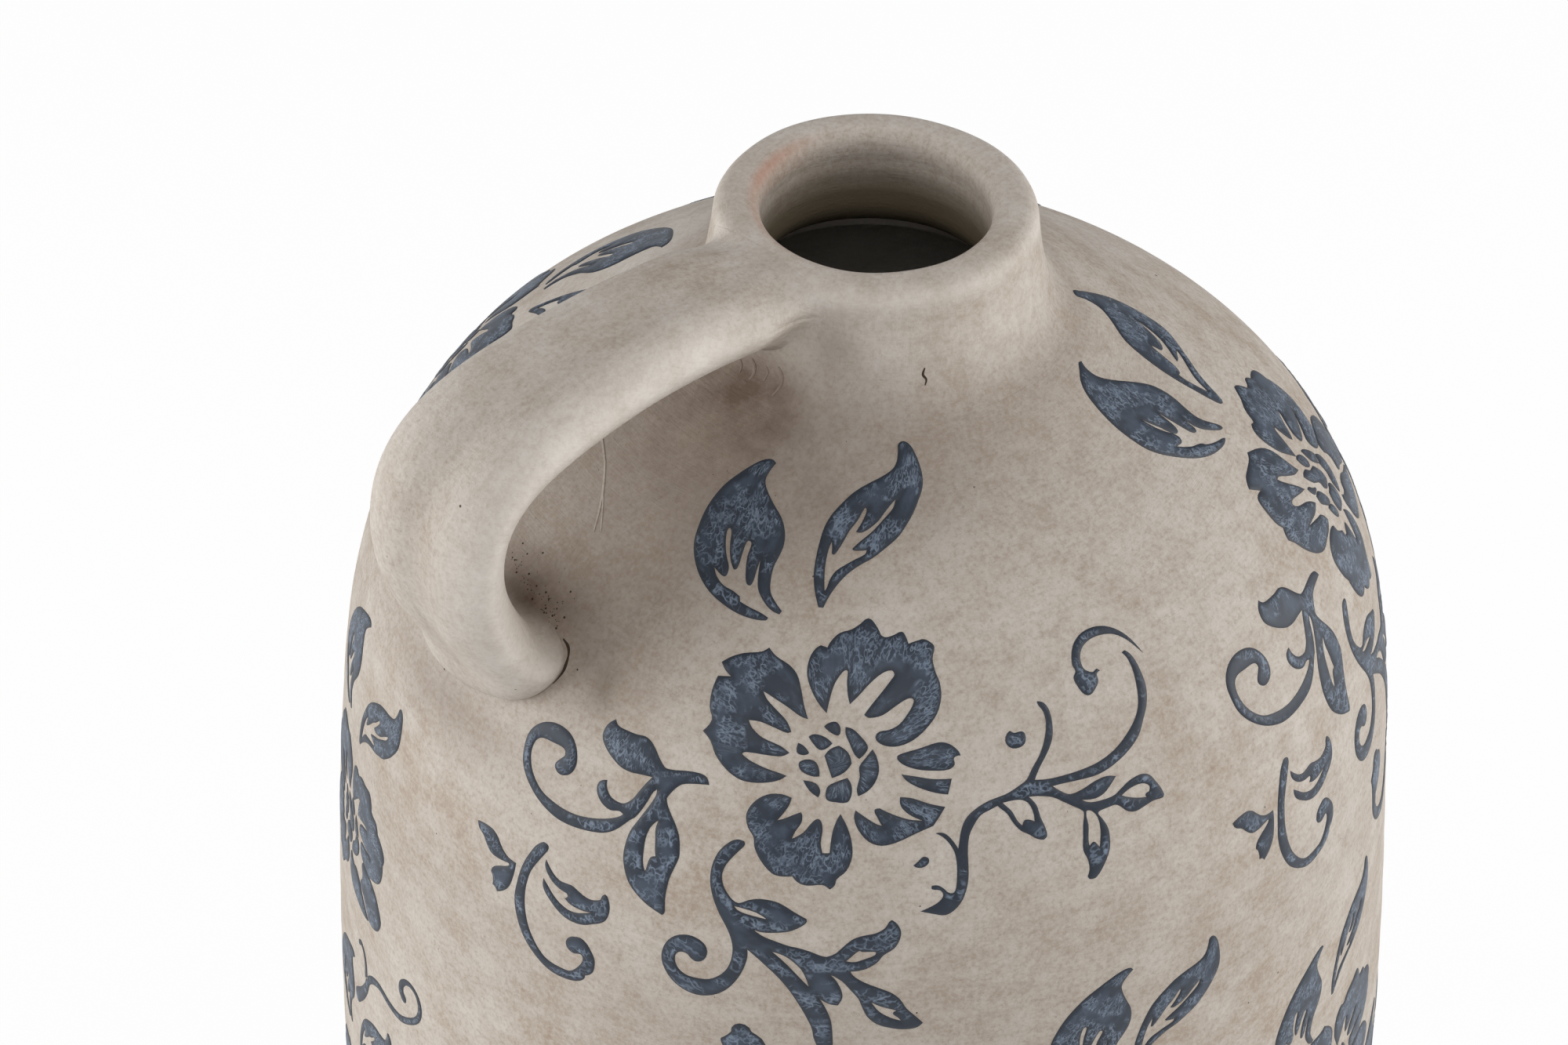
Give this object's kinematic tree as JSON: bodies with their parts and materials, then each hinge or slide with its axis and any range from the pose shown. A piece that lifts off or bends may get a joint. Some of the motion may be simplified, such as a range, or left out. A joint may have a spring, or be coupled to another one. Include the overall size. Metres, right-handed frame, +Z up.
{
  "type": "handled terracotta vase",
  "caption": "Bellied terracotta vase with a low shoulder, short rolled neck and a strap handle, painted with flowers and scrolls; holds stems or stands as decor.",
  "frame": {"origin": "centre of the flat underside, on the axis of the pot", "axes": "+Z up along the axis of the pot, the strap handle stands on the -X side"},
  "size_m": [0.248, 0.248, 0.3541],
  "materials": {
    "washed_clay": "matte cream wash over fired terracotta",
    "bare_clay": "matte unglazed fired clay",
    "blue_slip": "matte slate-blue slip painting"
  },
  "bodies": {
    "root": {"base_slab": "bare_clay", "belly_wall": "washed_clay", "shoulder_wall": "washed_clay", "neck_collar": "washed_clay", "strap_handle": "washed_clay", "upper_lute": "washed_clay", "lower_lute": "washed_clay"}
  },
  "joints": []
}
